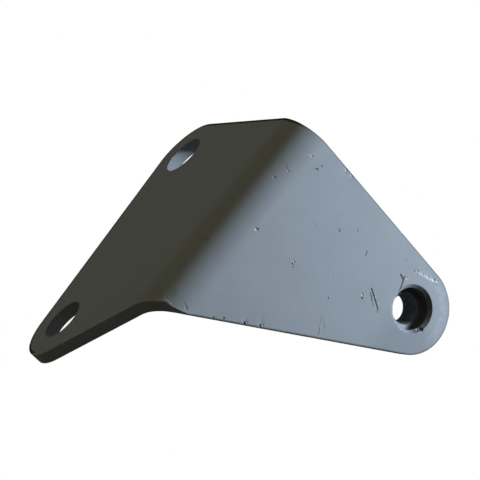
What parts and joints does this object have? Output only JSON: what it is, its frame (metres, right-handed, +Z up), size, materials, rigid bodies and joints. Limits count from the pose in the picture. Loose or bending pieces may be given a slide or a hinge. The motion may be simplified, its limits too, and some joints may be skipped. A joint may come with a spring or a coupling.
{
  "type": "catwalk bracket",
  "caption": "Painted steel angle bracket folded from one rounded plate, with bolt holes in the wall flange and a nut welded behind the hole at the tip of its arm.",
  "frame": {"origin": "centre of the upper bolt hole, in the face that lies against the wall", "axes": "+X out of the wall along the bolt hole's axis, +Y along the wall away from the fold, +Z up along the fold; the arm flange faces -Y"},
  "size_m": [0.116, 0.107, 0.139],
  "materials": {
    "plate_paint": "satin grey paint over steel, chipped at the edges and lightly scratched",
    "nut_paint": "satin grey paint over steel, bare steel showing in the thread"
  },
  "bodies": {
    "root": {"bracket_plate": "plate_paint", "weld_nut": "nut_paint"}
  },
  "joints": []
}
